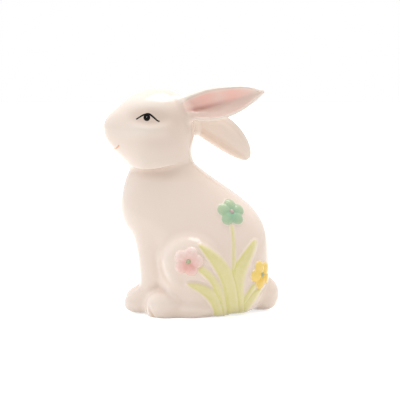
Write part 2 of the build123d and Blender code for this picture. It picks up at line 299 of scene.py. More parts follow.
def sampled(field, corner, voxel, points):
    """A field's values at points in millimetres, read between its voxels."""
    place = np.clip(points / voxel - corner, 0, np.array(field.shape) - 1.001)
    cell = place.astype(int)
    share = place - cell
    value = np.zeros(len(points))
    for step in np.ndindex(2, 2, 2):
        weight = np.prod(np.where(step, share, 1 - share), axis=1)
        value += weight * field[tuple((cell + step).T)]
    return value


print("one softening turns a step into", softened(np.array((0.0, 0.0, 1.0, 1.0)), 1).tolist())

# %% [markdown]
# ## Luting the members together
# The potter scores both faces, wets them with slip, presses the members together and wipes the seam. A wide
# seam, such as an ear's root, gets more slip than the tail's, so each member has its own fillet. A damp
# sponge takes the sharp edges off, also off the edge that the figure stands on. The hollows of the castings
# are closed here, since nobody sees them.

# %% Lute the members
# how wide the fillet is where a member meets those before it
FILLETS = {"torso_casting": 1.0, "head_casting": 4.0, "left_ear": 5.5, "right_ear": 8.0,
           "left_foreleg": 5.5, "right_foreleg": 5.5, "left_haunch": 5.0, "right_haunch": 5.0,
           "left_hind_foot": 6.0, "right_hind_foot": 6.0, "tail": 2.8}
SPONGE_SOFTNESS = {"torso_casting": 2.0, "foreleg": 2.6, "hind_foot": 1.7}
# softening shrinks a round form, and this share of the softness squared grows it back
SPONGE_LOSS = 0.05
# how round the edge is that a member stands on: towards the face, and towards the tail
FOOT_ROUNDS = {"torso_casting": (6.0, 6.0), "foreleg": (5.0, 5.0), "hind_foot": (2.0, 6.5),
               "tail": (4.0, 4.0)}
FOOT_ROUND_ENDS = (-4.0, 8.0)

block_corner = np.floor((np.array(cad_low) / MM - REACH) / VOXEL).astype(int) - 1
block_beyond = np.ceil((np.array(cad_high) / MM + REACH) / VOXEL).astype(int) + 3


def luted(body, member, fillet):
    """The smooth union of two fields, with a fillet where they meet."""
    share = np.clip(0.5 + 0.5 * (body - member) / fillet, 0, 1)
    return body + (member - body) * share - fillet * share * (1 - share)


clay_field = np.full(block_beyond - block_corner, REACH, np.float32)
member_fields = {}
for name, fillet in FILLETS.items():
    field, corner = distance_field(name, VOXEL, REACH)
    kind = name.removeprefix("left_").removeprefix("right_")
    if kind.endswith("casting"):
        field = filled(field)
    if kind in SPONGE_SOFTNESS:
        softness = SPONGE_SOFTNESS[kind]
        field = sponged(field, corner, VOXEL, softness) - SPONGE_LOSS * softness ** 2
    if kind in FOOT_ROUNDS:
        along, _, height = (low + np.arange(length) for low, length in zip(corner, field.shape))
        rounding = np.interp(along * VOXEL, FOOT_ROUND_ENDS, FOOT_ROUNDS[kind])[:, None, None]
        field = -luted(-field, height * VOXEL, rounding).astype(np.float32)
    member_fields[name] = (field, corner)
    start = corner - block_corner
    around = tuple(slice(low, low + length) for low, length in zip(start, field.shape))
    clay_field[around] = luted(clay_field[around], field, fillet)
print("clay:", len(member_fields), "members in", clay_field.shape, "voxels")

# %% [markdown]
# ## The vent hole
# A closed hollow could burst in the kiln, so a hole is left in the floor. A boolean could cut it later, but
# its edge would need cleaning up. In a field, taking one form out of another is only the larger of two
# numbers, and the flat face that the figure stands on is cut the same way.

# %% Vent hole and standing face
VENT_RADIUS = 5.0
VENT_DEPTH = 14.0

axes = [np.arange(low, high) * VOXEL for low, high in zip(block_corner, block_beyond)]
from_vent = np.hypot(axes[0][:, None], axes[1][None, :])[:, :, None] - VENT_RADIUS
vent_field = np.maximum(from_vent, (axes[2] - VENT_DEPTH)[None, None, :])
clay_field = np.maximum(clay_field, -vent_field)
clay_field = np.maximum(clay_field, -axes[2][None, None, :]).astype(np.float32)
print("vent:", 2 * VENT_RADIUS, "mm wide")

# %% [markdown]
# ## The skin
# The grid becomes a mesh of small quads where the field passes through zero. Grid meshes show faint
# steps, so the points are relaxed: each moves towards its neighbours and then a little back,
# which takes the steps out and keeps the size. The feet are kept flat on the sheet.

# %% Mesh, relax and measure a surface
RELAX_ROUNDS = 14
# how far a point moves to its neighbours, and then back; moving on instead of back only smooths
RELAX_PULL = 0.5
RELAX_BACK = -0.53
BAND_VOXELS = 3


def meshed(field, corner, voxel):
    """Points in millimetres and outward quads of the surface where a field is zero."""
    band = BAND_VOXELS * voxel
    grid = openvdb.FloatGrid(band)
    grid.transform = openvdb.createLinearTransform(voxelSize=voxel)
    grid.copyFromArray(np.clip(field, -band, band), ijk=tuple(int(index) for index in corner))
    points, quads = grid.convertToQuads(isovalue=0.0)
    points, quads = points.astype(float), quads.astype(np.int64)
    first, second, third = (points[quads[:, place]] for place in (0, 1, 2))
    if np.einsum("ij,ij->", first, np.cross(second, third)) < 0:
        quads = quads[:, ::-1]
    return points, quads


def neighbour_mean(points, quads):
    """The middle of each point's neighbours along the edges of the mesh."""
    starts = quads.ravel()
    ends = np.roll(quads, -1, axis=1).ravel()
    count = np.maximum(np.bincount(starts, minlength=len(points)), 1)
    sums = [np.bincount(starts, points[ends, axis], len(points)) for axis in range(3)]
    return np.stack(sums, axis=1) / count[:, None]


def relaxed(points, quads, rounds, back=RELAX_BACK):
    """Points with the grid's steps smoothed out and the size kept."""
    for _ in range(rounds):
        for pull in (RELAX_PULL, back):
            points = points + pull * (neighbour_mean(points, quads) - points)
    return points


def point_normals(points, quads):
    """The outward direction at each point."""
    corners = points[quads]
    across = np.cross(corners[:, 2] - corners[:, 0], corners[:, 3] - corners[:, 1])
    sums = [np.bincount(quads.ravel(), np.repeat(across[:, axis], 4), len(points)) for axis in range(3)]
    normals = np.stack(sums, axis=1)
    return normals / np.maximum(np.linalg.norm(normals, axis=1, keepdims=True), 1e-9)


print("a mesh is relaxed", RELAX_ROUNDS, "times")

# %% The skin itself
def from_members(points):
    """How far each point is from every member, with a column for each."""
    columns = [sampled(field, corner, VOXEL, points) for field, corner in member_fields.values()]
    return np.stack(columns, axis=1)


skin, skin_quads = meshed(clay_field, block_corner, VOXEL)
skin = relaxed(skin, skin_quads, RELAX_ROUNDS)
skin[:, 2] = np.maximum(skin[:, 2], 0)
normals = point_normals(skin, skin_quads)
distances = from_members(skin)
member_names = list(member_fields)
print("skin:", len(skin), "points,", len(skin_quads), "quads")

# %% [markdown]
# ## Touches of the thumb
# A mould carries small forms that no single member has: the socket round each eye, the brow over it, the
# hollow under the jaw. Sculpting with brushes gives such forms too, but not the same ones twice. Here each
# form is a bell curve that moves the skin in or out along its own direction, as a thumb would press it.

# %% How a touch works
def bell(distance):
    """1 in the middle of a touch, fading to nothing outside it."""
    return np.exp(-distance ** 2)


def smoothstep(low, high, value):
    """0 below low, 1 above high, with soft ends."""
    share = np.clip((np.asarray(value) - low) / (high - low), 0, 1)
    return share * share * (3 - 2 * share)


def member_share(name, blur=1.5):
    """1 on a member's own skin, fading to 0 across its seam."""
    own = distances[:, member_names.index(name)]
    rest = np.delete(distances, member_names.index(name), axis=1).min(axis=1)
    return np.clip(0.5 + (rest - own) / (2 * blur), 0, 1)


def from_touch(middle, radii):
    """Shares of a touch's radii, along and up, from its middle to each point of the skin."""
    return (skin[:, 0] - middle[0]) / radii[0], (skin[:, 2] - middle[1]) / radii[1]


print("a touch keeps", bell(1.0).round(2), "of its depth at its radius")

# %% [markdown]
# ## The face
# The muzzle narrows towards the nose, each eye lies in a shallow socket under a soft brow, and the jaw hangs
# a little over the hollow of the neck. Brow, cheek and socket are placed from the middle of the eye, so that
# they move with it. Glaze gathers in the hollows, so they are noted for the glaze to read: socket and sunk
# touches are painted darker as pooled glaze and painted shade, the neck's hollow as painted shade, and the
# raised brow and cheekbone paler, as a painted highlight.

# %% Muzzle, eye sockets, neck and jaw
EYE = np.array((-33.1, 122.7))
# name: place from the middle of the eye (along, up), radii (along, up), how far the skin comes out
FACE_TOUCHES = {
    "brow": ((2.0, 8.6), (14.0, 4.2), 1.0),
    "cheekbone": ((-2.0, -8.0), (13.0, 5.0), 0.7),
    "cheek_hollow": ((7.0, -14.0), (15.0, 6.5), -0.6),
    "temple": ((19.0, -1.0), (7.5, 9.0), -1.2),
}
SOCKET_MIDDLE = (1.5, 0.9)
SOCKET_RADII = (11.6, 5.5)
SOCKET_DEPTH = 1.9
# the socket is deeper under the eye than over it: its share at the middle, and the most it reaches
SOCKET_TILT = 0.55
SOCKET_TILT_LIMIT = 1.2
NECK_MIDDLE = (-24.0, 89.0)
NECK_RADII = (19.0, 4.5)
NECK_HOLLOW = 1.3
JAW_MIDDLE = (-25.0, 93.5)
JAW_RADII = (17.0, 7.0)
JAW_DROP = 2.2
MUZZLE_TAPER = 0.3
MUZZLE_REACH = (-33.0, -60.0)
# how much darker the glaze is painted, as pooled glaze and painted shade, for each millimetre of a touch
# (paler, a painted highlight, where it comes out), as painted shade for each millimetre of the neck's hollow,
# and as pooled glaze and painted shade in a whole socket
TOUCH_POOLING_AND_SHADING = 0.5
NECK_PAINTED_SHADE = 0.35
SOCKET_POOLING_AND_SHADE = 0.75

head_share, torso_share = member_share("head_casting"), member_share("torso_casting")
skin[:, 1] *= 1 - MUZZLE_TAPER * head_share * smoothstep(*MUZZLE_REACH, skin[:, 0])
normals = point_normals(skin, skin_quads)
# painted shading of the face, with pooled glaze: darker in the socket and sunk touches, painted shade in the
# neck's hollow, paler on raised touches as a painted highlight
face_pooling_and_shading = np.zeros(len(skin))
for side in (-1, 1):
    facing = np.clip(2 * side * normals[:, 1], 0, 1)
    for place, radii, out in FACE_TOUCHES.values():
        along, up = from_touch(EYE + place, radii)
        touch = out * head_share * facing * bell(np.hypot(along, up))
        skin += normals * touch[:, None]
        face_pooling_and_shading -= TOUCH_POOLING_AND_SHADING * touch
    along, up = from_touch(EYE + SOCKET_MIDDLE, SOCKET_RADII)
    socket = head_share * facing * bell(np.hypot(along, up) ** 2)
    depth = SOCKET_DEPTH * np.clip(SOCKET_TILT * (1 - up), 0, SOCKET_TILT_LIMIT)
    skin -= normals * (depth * socket)[:, None]
    face_pooling_and_shading += SOCKET_POOLING_AND_SHADE * socket
    along, up = from_touch(NECK_MIDDLE, NECK_RADII)
    touch = NECK_HOLLOW * torso_share * facing * bell(np.hypot(along, up))
    skin -= normals * touch[:, None]
    face_pooling_and_shading += NECK_PAINTED_SHADE * touch
along, up = from_touch(JAW_MIDDLE, JAW_RADII)
skin[:, 2] -= JAW_DROP * head_share * bell(np.hypot(along, up) ** 2)
print("face:", len(FACE_TOUCHES), "touches and a socket on each cheek")

# %% [markdown]
# ## Wiping the seams
# Where the head and the ears were stuck on, a wet sponge takes the last of the groove away. Smoothing the
# whole skin would blunt the rest, so a smoothed copy is mixed in only near a seam, which is where the skin
# lies about as far from one member as from the other.

# %% Wipe the seams
# two members, how wide the sponge goes, how often it passes and how hard it presses
WIPED_SEAMS = (("head_casting", "torso_casting", 5.5, 60, 1.0),
               ("left_ear", "head_casting", 4.0, 60, 1.0),
               ("right_ear", "head_casting", 6.0, 150, 2.0))

for one, other, width, rounds, force in WIPED_SEAMS:
    way, other_way = (distances[:, member_names.index(name)] for name in (one, other))
    away = np.maximum(way, other_way)
    seam = np.clip(force * bell((way - other_way) / width) * bell(away / width), 0, 1)
    seam *= np.clip(2 - 2 * away / REACH, 0, 1)
    skin += seam[:, None] * (relaxed(skin, skin_quads, rounds, back=RELAX_PULL) - skin)
    print(one, "and", other, "wiped at", int((seam > 0.5).sum()), "points")

# %% [markdown]
# ## The thighs
# Each thigh has a soft shoulder along its front and top, and low down it runs on into the long hind foot with
# no step. The solid has the dome and the foot; these swellings join them. Flowers and leaves lie on the left
# thigh and have to come out with it, so this is a function that takes any points.

# %% Swell the thighs
SHOULDER_SWELL = 1.3
# as shares of the thigh's half size: where the shoulder is, and how wide inwards and outwards
SHOULDER_PLACE = 0.84
SHOULDER_WIDTHS = (0.42, 0.13)
SHOULDER_FRONT = 0.6
# where the thigh runs on into the foot: middle (along, up), radii (before, behind, up), how far it comes out
THIGH_FILLS = (((-9.0, 14.5), (8.0, 13.0, 6.5), 4.4),
               ((-20.0, 21.5), (6.0, 6.0, 6.5), 4.4),
               ((-15.5, 18.5), (4.5, 5.5, 5.0), 1.6))
THIGH_INNER = 8.0


def box_of(name):
    """A member's lowest and highest corner, in millimetres."""
    return np.array([tuple(corner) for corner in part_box(name)]) / MM


def swollen(points):
    """Points on the thighs brought out, but never out of the frame's box."""
    points = points.copy()
    for name, side in (("left_haunch", -1), ("right_haunch", 1)):
        low, high = box_of(name)
        along = (2 * points[:, 0] - low[0] - high[0]) / (high[0] - low[0])
        up = (2 * points[:, 2] - low[2] - high[2]) / (high[2] - low[2])
        spread = np.maximum(np.hypot(along, up), 1e-6)
        front = np.clip(SHOULDER_FRONT + (up - along) / spread, 0, 1)
        past = spread - SHOULDER_PLACE
        swell = SHOULDER_SWELL * front * bell(past / np.where(past < 0, *SHOULDER_WIDTHS))
        for middle, (before, behind, upright), out in THIGH_FILLS:
            along = points[:, 0] - middle[0]
            along /= np.where(along < 0, before, behind)
            swell += out * bell(np.hypot(along, (points[:, 2] - middle[1]) / upright))
        points[:, 1] += side * swell * np.clip(side * points[:, 1] - THIGH_INNER, 0, 1)
    return np.clip(points, np.array(cad_low) / MM, np.array(cad_high) / MM)


unswollen = skin
skin = swollen(skin)
normals = point_normals(skin, skin_quads)
print("thighs come out by up to", np.abs(skin - unswollen).max().round(2), "mm")

# %% [markdown]
# ## The hind feet
# A hind foot ends in a round lump, parted from the leg by a soft crease over the instep, and two short
# grooves part its toes. A boolean cut would leave sharp lips, so the grooves are touches too, very narrow.

# %% Toe lump, instep and toe grooves
TOE_LUMP = 1.2
TOE_LUMP_MIDDLE = (-24.0, 10.5)
TOE_LUMP_RADII = (9.0, 6.0)
# the crease over the instep: places along the foot with its heights, and with its strengths
INSTEP_LINE = ((-32.0, -26.5, -22.0, -17.8, -12.0), (16.4, 18.4, 16.6, 13.2, 9.0))
INSTEP_STRENGTH = ((-36.0, -28.0, -23.0, -13.0), (0.0, 1.0, 1.0, 0.0))
INSTEP_CREASE = 1.1
INSTEP_WIDTH = 2.3
# the foot's outer side, where the lump and the crease fade in, from the middle of the figure
FOOT_SIDE = (14.0, 20.0)
TOE_GROOVE = 1.3
TOE_GROOVE_WIDTH = 0.75
TOE_GROOVE_HEIGHT = 6.5
TOE_SPACING_SHARE = 0.27
# the grooves lie where the skin looks forwards: how fast they come in with that, less a start
TOE_TURN = 1.6
TOE_TURN_START = 0.25

toe_lines = np.zeros(len(skin))
for name in ("left_hind_foot", "right_hind_foot"):
    low, high = box_of(name)
    middle, width = (low[1] + high[1]) / 2, high[1] - low[1]
    outer = np.interp(np.sign(middle) * skin[:, 1], FOOT_SIDE, (0, 1))
    along, up = from_touch(TOE_LUMP_MIDDLE, TOE_LUMP_RADII)
    over = (skin[:, 2] - np.interp(skin[:, 0], *INSTEP_LINE)) / INSTEP_WIDTH
    crease = bell(over) * np.interp(skin[:, 0], *INSTEP_STRENGTH)
    skin += normals * (outer * (TOE_LUMP * bell(np.hypot(along, up)) - INSTEP_CREASE * crease))[:, None]
    front = np.clip(-TOE_TURN * normals[:, 0] - TOE_TURN_START, 0, 1)
    toes = member_share(name) * front * bell((skin[:, 2] / TOE_GROOVE_HEIGHT) ** 2)
    for side in (-1, 1):
        groove = toes * bell((skin[:, 1] - middle - side * TOE_SPACING_SHARE * width) / TOE_GROOVE_WIDTH)
        skin -= normals * (TOE_GROOVE * groove)[:, None]
        toe_lines = np.maximum(toe_lines, groove)
skin[:, 2] = np.maximum(skin[:, 2], 0)
normals = point_normals(skin, skin_quads)
print("toe grooves:", int((toe_lines > 0.5).sum()), "points on both hind feet")

# %% [markdown]
# ## The ears
# The laid-back ear shows its hollow, with a rim curled over the top and a fold along the bottom. Both follow
# the ear's own length and height. Those directions could be typed in by eye, but the main directions of the
# ear's points give them too, and still fit if the frame changes.

# %% Directions and rims of an ear
EAR_SLICES = 30
# every seventh point is enough to find the main directions
EAR_STRIDE = 7


def ear_frame(name):
    """An ear's root and length, and its directions along, across (upwards) and out of its hollow."""
    points = node_mesh(name)[0].astype(float)
    middle = points.mean(axis=0)
    offset = points - middle
    along, across, opening = np.linalg.svd(offset[::EAR_STRIDE], full_matrices=False)[2]
    along = along * np.sign(along @ (middle - box_of("head_casting").mean(axis=0)))
    across = across * np.sign(across[2])
    opening = opening * np.sign(np.corrcoef(np.abs(offset @ across), offset @ opening)[0, 1])
    root = middle + along * (offset @ along).min()
    return root, np.ptp(offset @ along), along, across, opening


def from_rims(reach, height, mine):
    """How far each point lies under an ear's upper rim, and over its lower one."""
    edges = np.linspace(0, 1, EAR_SLICES + 1)
    middles = (edges[1:] + edges[:-1]) / 2
    slices = np.clip(np.digitize(reach, edges), 1, EAR_SLICES)
    heights = [height[mine & (slices == place)] for place in range(1, EAR_SLICES + 1)]
    upper = np.interp(reach, middles, [part.max(initial=0) for part in heights])
    lower = np.interp(reach, middles, [part.min(initial=0) for part in heights])
    return upper - height, height - lower


def between(start, end, share):
    """1 between two soft ends along an ear, 0 before and after them."""
    return smoothstep(*start, share) * (1 - smoothstep(*end, share))


print("left ear:", ear_frame("left_ear")[1].round(1), "mm long")

# %% Fold and curled rim
# places along an ear are shares of its length: where a form starts, then where it ends
EAR_FOLD = 0.9
EAR_FOLD_WIDTH = 1.6
EAR_FOLD_START = -2.7
EAR_FOLD_RISE = 5.0
EAR_FOLD_ENDS = ((-0.12, 0.04), (0.5, 0.95))
EAR_FOLD_DEEPENS = (0.05, 0.25)
RIM_CURL = 2.2
RIM_CURL_WIDTH = 3.4
RIM_CURL_ENDS = ((0.0, 0.2), (0.7, 0.95))
RIM_LIFT = 0.2
LOWER_FILL = 1.5
LOWER_FILL_PLACE = 5.0
LOWER_FILL_WIDTH = 3.0
LOWER_FILL_END = (0.35, 0.75)
HOLLOW_BLUR = 4.0
HOLLOW_TURN = (0.1, 0.5)

ears = []
for name in ("left_ear", "right_ear"):
    root, length, along, across, opening = ear_frame(name)
    own = member_share(name)
    reach, height = (skin - root) @ along / length, (skin - root) @ across
    under_rim, over_rim = from_rims(reach, height, own > 0.5)
    hollow = member_share(name, HOLLOW_BLUR) * smoothstep(*HOLLOW_TURN, normals @ opening)
    over_fold = height - EAR_FOLD_START - EAR_FOLD_RISE * reach
    crease = hollow * bell(over_fold / EAR_FOLD_WIDTH) * between(*EAR_FOLD_ENDS, reach)
    ears.append((own, hollow, reach, over_fold, under_rim, over_rim, crease))
    skin -= normals * (EAR_FOLD * crease * smoothstep(*EAR_FOLD_DEEPENS, reach))[:, None]
    curl = own * between(*RIM_CURL_ENDS, reach) * np.clip(1 - under_rim / RIM_CURL_WIDTH, 0, 1) ** 2
    fill = hollow * bell((over_rim - LOWER_FILL_PLACE) / LOWER_FILL_WIDTH)
    fill *= 1 - smoothstep(*LOWER_FILL_END, reach)
    level_opening = opening * (1, 1, 0) / np.hypot(*opening[:2])
    skin += LOWER_FILL * fill[:, None] * opening - RIM_CURL * curl[:, None] * level_opening
    skin[:, 2] += RIM_LIFT * curl
    print(name, "along", along.round(2), "across", across.round(2), "opening", opening.round(2))
normals = point_normals(skin, skin_quads)

# %% [markdown]
# ## Colour in the ears
# Before glazing, the ears' hollows are tinted with an airbrush: a thin pink mist with two stronger puffs,
# kept off the rim. A browner pink is painted shade: along the fold near the root, in a thin line under the
# rim and over the lower side of the hollow, and the rim itself is painted paler, as a painted highlight. An
# image could be painted for this, but the colour follows the form, so it is kept as values at the points of
# the skin, which the glaze reads later.

# %% Blush, painted shade and painted highlight in the ears
RIM_WIDTH = 2.1
# the share of that width at the root, and how much of it is lost by the tip
RIM_NARROWING = (1.25, 0.7)
RIM_AT_ROOT = 8.0
RIM_ROOT_END = (-0.08, 0.2)
RIM_EDGE = (0.0, 1.6)
# where the rim's painted highlight fades out, across its edge
RIM_HIGHLIGHT_EDGE = (-0.4, 0.4)
FOLD_EDGE = (-1.6, 0.6)
BLUSH_ENDS = ((-0.06, 0.06), (0.78, 0.98))
BLUSH_MIST = 0.32
BLUSH_PUFF = 0.5
# each puff: its middle and its radius along the ear
BLUSH_PUFFS = ((0.28, 0.16), (0.62, 0.14))
# painted shade in a browner pink: a thin line under the rim, the lower side of the hollow, the fold at the
# root
RIM_FOOT_SHADE = 0.35
RIM_FOOT_WIDTH = 0.4
LOWER_PAINTED_SHADE = 0.34
LOWER_SHADE_EDGE = (0.8, 2.4)
ROOT_PAINTED_SHADE = 0.95
ROOT_SHADE_END = (0.05, 0.75)

blush, ear_painted_shade, rim_painted_highlight = np.zeros((3, len(skin)))
for own, hollow, reach, over_fold, under_rim, over_rim, crease in ears:
    sprayed = between(*BLUSH_ENDS, reach)
    rim = RIM_WIDTH * (RIM_NARROWING[0] - RIM_NARROWING[1] * reach)
    rim += RIM_AT_ROOT * (1 - smoothstep(*RIM_ROOT_END, reach)) ** 2
    above = smoothstep(*FOLD_EDGE, over_fold)
    puffs = np.max([bell((reach - middle) / radius) for middle, radius in BLUSH_PUFFS], axis=0)
    mist = (BLUSH_MIST + BLUSH_PUFF * puffs) * above * smoothstep(*RIM_EDGE, under_rim - rim)
    # painted shade under the overhanging rim, over the lower side and in the fold near the root
    rim_foot_shade = RIM_FOOT_SHADE * bell((under_rim - rim) / RIM_FOOT_WIDTH) * sprayed
    lower_shade = LOWER_PAINTED_SHADE * smoothstep(*LOWER_SHADE_EDGE, over_rim) * (1 - above) * sprayed
    root_shade = ROOT_PAINTED_SHADE * crease * (1 - smoothstep(*ROOT_SHADE_END, reach))
    blush = np.maximum(blush, hollow * sprayed * mist)
    ear_painted_shade = np.maximum(ear_painted_shade, hollow * np.max([rim_foot_shade, lower_shade, root_shade], axis=0))
    # the rim is painted paler, as a painted highlight
    rim_painted_highlight = np.maximum(rim_painted_highlight, own * (1 - smoothstep(*RIM_HIGHLIGHT_EDGE, under_rim - rim)))
print("blush up to", blush.max().round(2), "and shade up to", ear_painted_shade.max().round(2))

# %% [markdown]
# ## Where the glaze pools
# Glaze runs off edges and gathers in folds, and the foot is wiped clean so that it doesn't stick to the kiln
# shelf. A point that lies deeper than a smoothed copy of the skin is in a fold, so pooling is measured that
# way, which no texture on its own would know. The darker colour there is painted shade as well as pooled
# glaze, and the paler ear rims are a painted highlight.

# %% Pooled, painted shading and wiped places
POOL_ROUNDS = 30
POOL_DEPTH = 1.2
POOL_LIMIT = 0.6
# the heights over which each wiped place fades out, and how clean it is
RING_FADE = (0.25, 0.8)
RING_WIPED = 0.6
UNDERSIDE_FADE = (0.05, 0.45)
UNDERSIDE_TURN = (0.4, 0.9)
TOE_FADE = (1.0, 5.0)
TOE_WIPED = 0.8

level_skin = relaxed(skin, skin_quads, POOL_ROUNDS, back=RELAX_PULL)
# folds are painted darker, for pooled glaze and for the shade that falls in them
gathered_and_shaded = ((level_skin - skin) * normals).sum(axis=1) / POOL_DEPTH
# pooled glaze and painted shade make it darker, and the painted highlight on the ear rims makes it paler
pooling_and_painted_shading = np.clip(np.clip(gathered_and_shaded, -POOL_LIMIT, POOL_LIMIT) + face_pooling_and_shading - rim_painted_highlight, -1, 1)
ring = RING_WIPED * (1 - smoothstep(*RING_FADE, skin[:, 2]))
underside = (1 - smoothstep(*UNDERSIDE_FADE, skin[:, 2])) * smoothstep(*UNDERSIDE_TURN, -normals[:, 2])
toe_ends = TOE_WIPED * toe_lines * (1 - smoothstep(*TOE_FADE, skin[:, 2]))
bare = np.max([ring, underside, toe_ends], axis=0)
print("pooling:", pooling_and_painted_shading.min().round(2), "to", pooling_and_painted_shading.max().round(2))

# %% [markdown]
# ## Cream glaze
# The body is white earthenware under a clear, slightly warm glaze: opaque cream to the eye, as smooth as
# glass, a little deeper in colour where it pools and paler where it runs thin over an edge. The deeper colour
# in folds and hollows is also painted shade, and the paler ear rims, brow and cheekbones are a painted
# highlight. Real layers of glass over clay would be slow and noisy to render, and a glass-like gloss over a
# plain matt colour looks the same. The surface is never quite flat, so a very low, wide bump bends the
# reflections.

# %% Cream glaze material
BODY_CREAM = "#f6e4d6"
# from thin glaze and painted highlight to a pool and painted shade: place on the scale, and colour
CREAM_TONES_AND_SHADING = ((0.2, "#f9ece0"), (0.5, BODY_CREAM), (0.85, "#e7d2c3"))
MOTTLE_CREAM = "#f2decd"
MOTTLE_SIZE = 9.0
MOTTLE_SHARE = 0.35
BLUSH_PINK = "#ffc4b7"
# the browner pink of the painted shade in the ears
EAR_SHADE_ROSE = "#cf9a8c"
WIPED_BUFF = "#d8ab82"
GLAZE_ROUGHNESS = 0.07
WIPED_ROUGHNESS = 0.75
RIPPLE_SIZE = 5.0
RIPPLE_HEIGHT = 0.02
GLASS_IOR = 1.5

# glassy glaze gives a soft warm white with small clear highlights, and the wiped foot a dull buff
cream_glaze, tree = new_material("cream_glaze_on_earthenware")
place = add_node(tree, "TexCoord", {}).outputs["Object"]
# the first value is pooled glaze together with painted shade and painted highlight
pooled_and_shaded, blown, ear_shaded, wiped = (add_node(tree, "Attribute", {}, attribute_name=label).outputs["Fac"]
                                for label in ("pooling_and_painted_shading", "blush", "ear_painted_shade", "bare"))
depth = add_node(tree, "MapRange", {"Value": pooled_and_shaded, "From Min": -1.0, "From Max": 1.0})
cream = add_node(tree, "ValToRGB", {"Fac": depth.outputs[0]})
cream.color_ramp.elements.new(0.5)
for stop, (share, paint) in zip(cream.color_ramp.elements, CREAM_TONES_AND_SHADING):
    stop.position = share
    stop.color = linear(paint)
mottle = add_node(tree, "TexNoise", {"Vector": place, "Scale": 1 / (MOTTLE_SIZE * MM), "Detail": 3.0})
patchy = add_node(tree, "Mix", {0: mottle.outputs["Fac"], 6: cream.outputs["Color"], 7: linear(MOTTLE_CREAM)},
                  data_type="RGBA")
layers = add_node(tree, "Mix", {0: MOTTLE_SHARE, 6: cream.outputs["Color"], 7: patchy.outputs[2]},
                  data_type="RGBA")
# the middle layer is the painted shade in the ears
for share, paint in ((blown, BLUSH_PINK), (ear_shaded, EAR_SHADE_ROSE), (wiped, WIPED_BUFF)):
    layers = add_node(tree, "Mix", {0: share, 6: layers.outputs[2], 7: linear(paint)}, data_type="RGBA")
gloss = add_node(tree, "MapRange", {"Value": wiped, "To Min": GLAZE_ROUGHNESS, "To Max": WIPED_ROUGHNESS})
ripple = add_node(tree, "TexNoise", {"Vector": place, "Scale": 1 / (RIPPLE_SIZE * MM), "Detail": 1.0})
surface = add_node(tree, "Bump", {"Height": ripple.outputs["Fac"], "Distance": RIPPLE_HEIGHT * MM,
                                  "Strength": 1.0})
glass = add_node(tree, "BsdfPrincipled", {"Base Color": layers.outputs[2], "Roughness": gloss.outputs[0],
                                          "Normal": surface.outputs[0], "IOR": GLASS_IOR})
add_node(tree, "OutputMaterial", {"Surface": glass.outputs[0]})
print("glaze:", len(tree.nodes), "nodes")

# %% [markdown]
# ## Cutting the skin back into members
# The frame names each member, and a visual piece should answer to the same names. So the skin is
# shared out by the nearest member, and each share is closed inside the clay by a fan. All shares keep the
# shading directions of the whole skin, which is why no seam shows in the glaze.

# %% One piece
def new_piece(name, points, faces, material, values=None, directions=None):
    """A smooth mesh object, from points in millimetres, that rides with the figure."""
    mesh = bpy.data.meshes.new(name)
    mesh.from_pydata((np.asarray(points) * MM).tolist(), [], faces)
    for label, numbers in (values or {}).items():
        column = mesh.attributes.new(label, "FLOAT", "POINT")
        column.data.foreach_set("value", np.asarray(numbers, np.float32))
    mesh.polygons.foreach_set("use_smooth", np.ones(len(mesh.polygons), bool))
    if directions is not None:
        mesh.normals_split_custom_set_from_vertices(directions.tolist())
    mesh.materials.append(material)
    piece = bpy.data.objects.new(name, mesh)
    bpy.context.scene.collection.objects.link(piece)
    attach(piece, "root")
    return piece


print("pieces: lengths in millimetres, times", MM, "for the metres of the scene")

# %% Fans that close a piece inside the clay
# where along a spoke of a fan the cover of clay is tested, how thick it has to be, and the depths tried
FAN_STEPS = np.array((0.12, 0.3, 0.5, 0.75, 1.0))
FAN_COVER = 0.15
FAN_DEPTHS = range(0, 40, 4)


def open_loops(quads, count):
    """The starts and ends of a patch's open edges, and a label for the loop that each is in."""
    starts, ends = quads.ravel(), np.roll(quads, -1, axis=1).ravel()
    open_edge = ~np.isin(starts * count + ends, ends * count + starts)
    starts, ends = starts[open_edge], ends[open_edge]
    loop = np.arange(count)
    before = None
    while not np.array_equal(before, loop):
        before = loop.copy()
        low = np.minimum(loop[starts], loop[ends])
        np.minimum.at(loop, starts, low)
        np.minimum.at(loop, ends, low)
    return starts, ends, loop[starts]


def inside_fans(quads, points, outwards):
    """Fans that close each open edge of a patch: their middle points and triangles.

    A fan's middle is moved deeper until the whole fan lies in the clay, and a loop that has no such middle
    stays open against its neighbour.
    """
    starts, ends, labels = open_loops(quads, len(points))
    middles, triangles = [], []
    for label in np.unique(labels):
        rim = labels == label
        around = points[starts[rim]]
        inwards = -outwards[starts[rim]].mean(axis=0)
        for depth in FAN_DEPTHS:
            middle = around.mean(axis=0) + depth * inwards
            spokes = around[:, None] + FAN_STEPS[None, :, None] * (middle - around)[:, None]
            if sampled(clay_field, block_corner, VOXEL, spokes.reshape(-1, 3)).max() < -FAN_COVER:
                hub = len(points) + len(middles)
                triangles += [(int(end), int(start), hub) for start, end in zip(starts[rim], ends[rim])]
                middles.append(middle)
                break
    return np.array(middles).reshape(-1, 3), triangles


quad_owner = from_members(skin[skin_quads].mean(axis=1)).argmin(axis=1)
print("quads of each member:", np.bincount(quad_owner).tolist())

